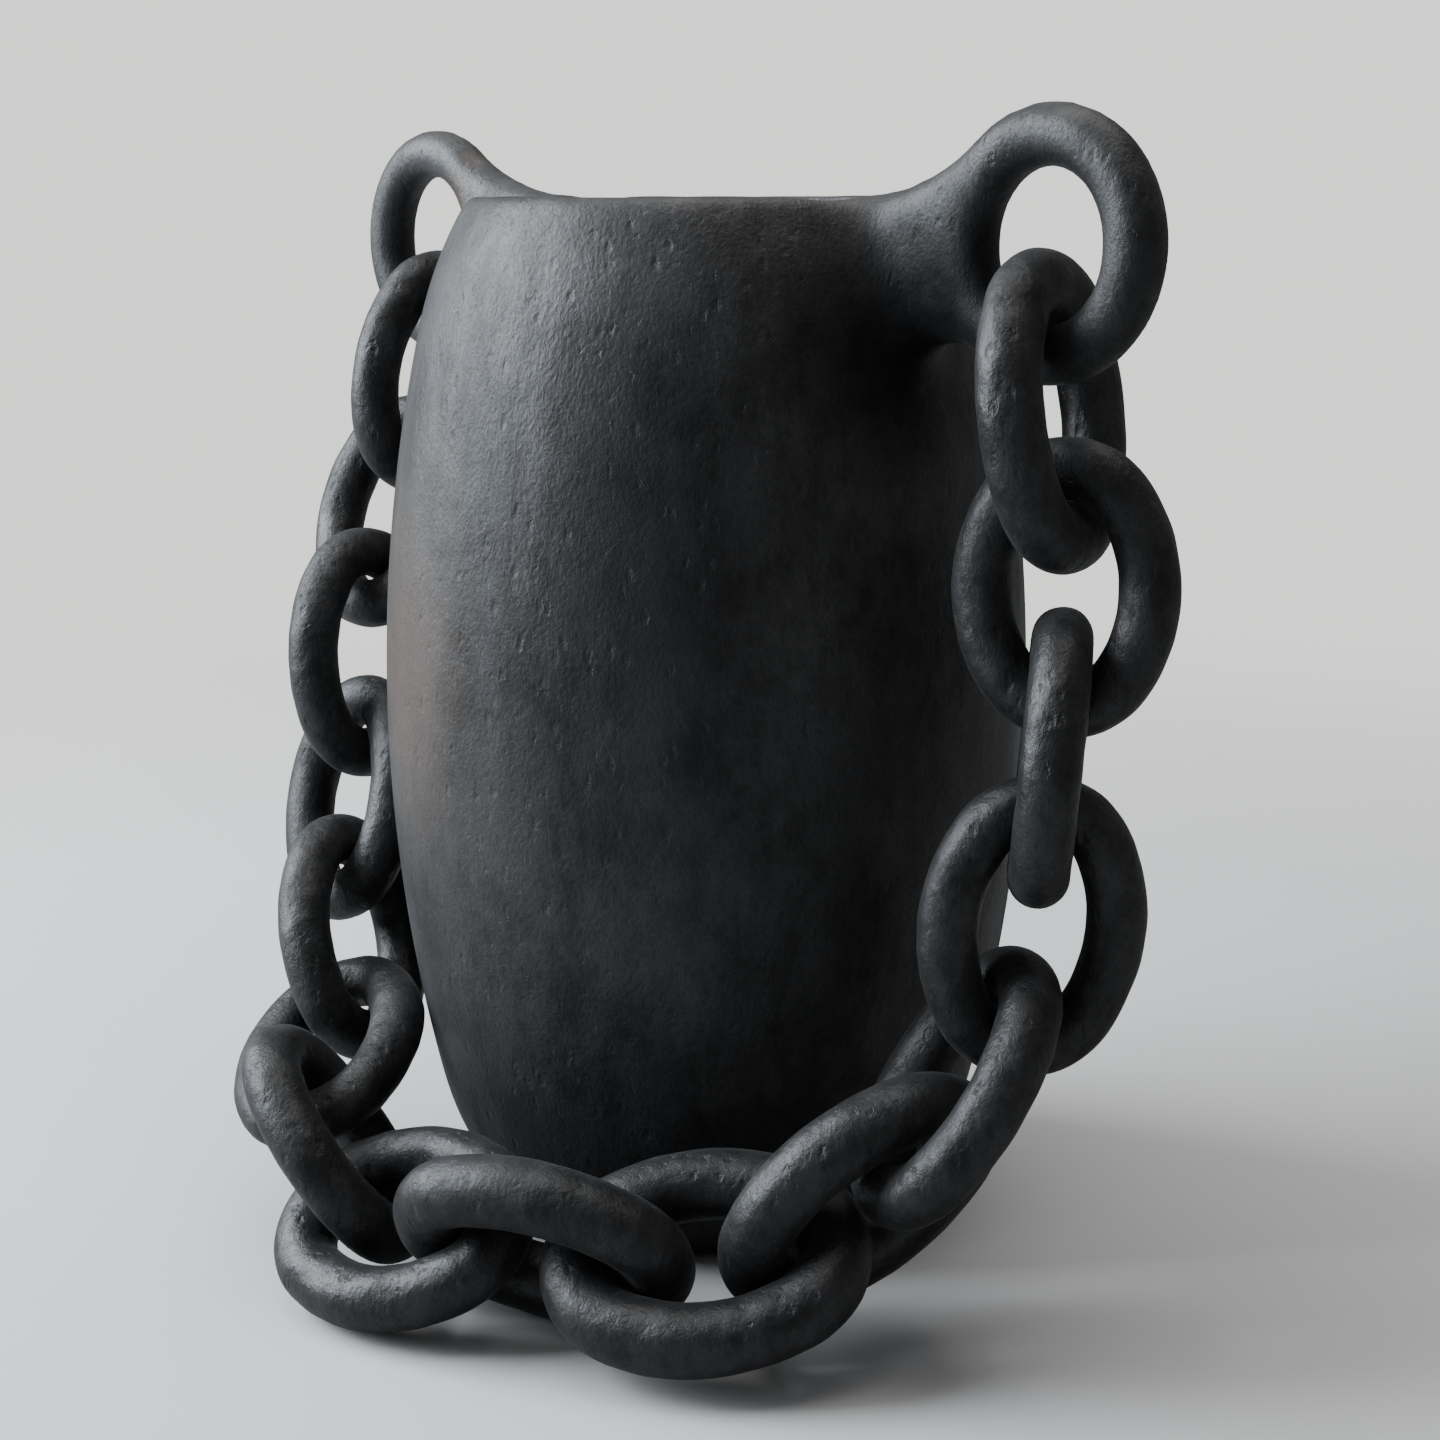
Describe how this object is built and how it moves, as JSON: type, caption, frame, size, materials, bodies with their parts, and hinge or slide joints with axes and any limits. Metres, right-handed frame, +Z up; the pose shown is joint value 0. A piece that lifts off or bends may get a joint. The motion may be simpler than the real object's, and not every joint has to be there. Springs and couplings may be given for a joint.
{
  "type": "pot with hanging chain",
  "caption": "Tall hollow black clay pot with upright ring handles and a loose chain of oval clay links looped from ring to ring in front of the pot.",
  "frame": {"origin": "centre of the pot's base, on the table", "axes": "+Z up along the pot's axis, +X towards the right ring handle, the chain lies on the -Y side"},
  "size_m": [0.3628, 0.2653, 0.3483],
  "materials": {
    "black_clay": "burnished, soft satin sheen"
  },
  "bodies": {
    "pot": {"pot_body": "black_clay", "ring_handle_right": "black_clay", "ring_handle_left": "black_clay"},
    "link_01": {"link_01": "black_clay"},
    "link_02": {"link_02": "black_clay"},
    "link_03": {"link_03": "black_clay"},
    "link_04": {"link_04": "black_clay"},
    "link_05": {"link_05": "black_clay"},
    "link_06": {"link_06": "black_clay"},
    "link_07": {"link_07": "black_clay"},
    "link_08": {"link_08": "black_clay"},
    "link_09": {"link_09": "black_clay"},
    "link_10": {"link_10": "black_clay"},
    "link_11": {"link_11": "black_clay"},
    "link_12": {"link_12": "black_clay"},
    "link_13": {"link_13": "black_clay"},
    "link_14": {"link_14": "black_clay"},
    "link_15": {"link_15": "black_clay"},
    "link_16": {"link_16": "black_clay"}
  },
  "joints": [
    {"name": "chain_swing", "type": "hinge", "parent": "pot", "child": "link_08", "pos_m": [0.139, 0, 0.2815], "axis": [-0.9998, 0, -0.0176], "range_deg": [0, 75]},
    {"name": "link_01_play", "type": "hinge", "parent": "link_08", "child": "link_01", "pos_m": [0.148, 0.001, 0.261], "axis": [-0.1907, 0.271, 0.9435], "range_deg": [-4, 4]},
    {"name": "link_02_play", "type": "hinge", "parent": "link_08", "child": "link_02", "pos_m": [0.15, -0.008, 0.217], "axis": [-0.0697, 0.0498, 0.9963], "range_deg": [-4, 4]},
    {"name": "link_03_play", "type": "hinge", "parent": "link_08", "child": "link_03", "pos_m": [0.155, -0.004, 0.173], "axis": [-0.0903, 0.2107, 0.9734], "range_deg": [-6, 6]},
    {"name": "link_04_play", "type": "hinge", "parent": "link_08", "child": "link_04", "pos_m": [0.147, -0.009, 0.127], "axis": [0.1707, 0.1506, 0.9738], "range_deg": [-7, 6]},
    {"name": "link_05_play", "type": "hinge", "parent": "link_08", "child": "link_05", "pos_m": [0.14, -0.024, 0.086], "axis": [0.4302, 0.2001, 0.8803], "range_deg": [-4, 8]},
    {"name": "link_06_play", "type": "hinge", "parent": "link_08", "child": "link_06", "pos_m": [0.121, -0.051, 0.057], "axis": [0.5618, 0.6421, 0.5217], "range_deg": [-8, 5]},
    {"name": "link_07_play", "type": "hinge", "parent": "link_08", "child": "link_07", "pos_m": [0.1, -0.086, 0.034], "axis": [0.7119, 0.6919, 0.1203], "range_deg": [-2, 3]},
    {"name": "link_09_play", "type": "hinge", "parent": "link_08", "child": "link_09", "pos_m": [0.01, -0.132, 0.031], "axis": [0.9713, 0.2203, -0.0901], "range_deg": [-4, 4]},
    {"name": "link_10_play", "type": "hinge", "parent": "link_08", "child": "link_10", "pos_m": [-0.02, -0.13, 0.036], "axis": [0.6514, -0.4209, -0.6313], "range_deg": [-12, 10]},
    {"name": "link_11_play", "type": "hinge", "parent": "link_08", "child": "link_11", "pos_m": [-0.058, -0.111, 0.055], "axis": [0.7362, -0.6168, -0.2786], "range_deg": [-2, 20]},
    {"name": "link_12_play", "type": "hinge", "parent": "link_08", "child": "link_12", "pos_m": [-0.092, -0.084, 0.085], "axis": [0.3396, -0.4795, -0.8092], "range_deg": [-8, 4]},
    {"name": "link_13_play", "type": "hinge", "parent": "link_08", "child": "link_13", "pos_m": [-0.109, -0.066, 0.126], "axis": [0.5296, -0.2198, -0.8193], "range_deg": [-1, 4]},
    {"name": "link_14_play", "type": "hinge", "parent": "link_08", "child": "link_14", "pos_m": [-0.127, -0.048, 0.167], "axis": [0.2105, -0.2206, -0.9524], "range_deg": [-7, 6]},
    {"name": "link_15_play", "type": "hinge", "parent": "link_08", "child": "link_15", "pos_m": [-0.137, -0.025, 0.217], "axis": [0.0398, -0.5474, -0.836], "range_deg": [-4, 16]},
    {"name": "link_16_play", "type": "hinge", "parent": "link_08", "child": "link_16", "pos_m": [-0.143, -0.004, 0.259], "axis": [0.1507, -0.4421, -0.8842], "range_deg": [-16, 6]}
  ]
}
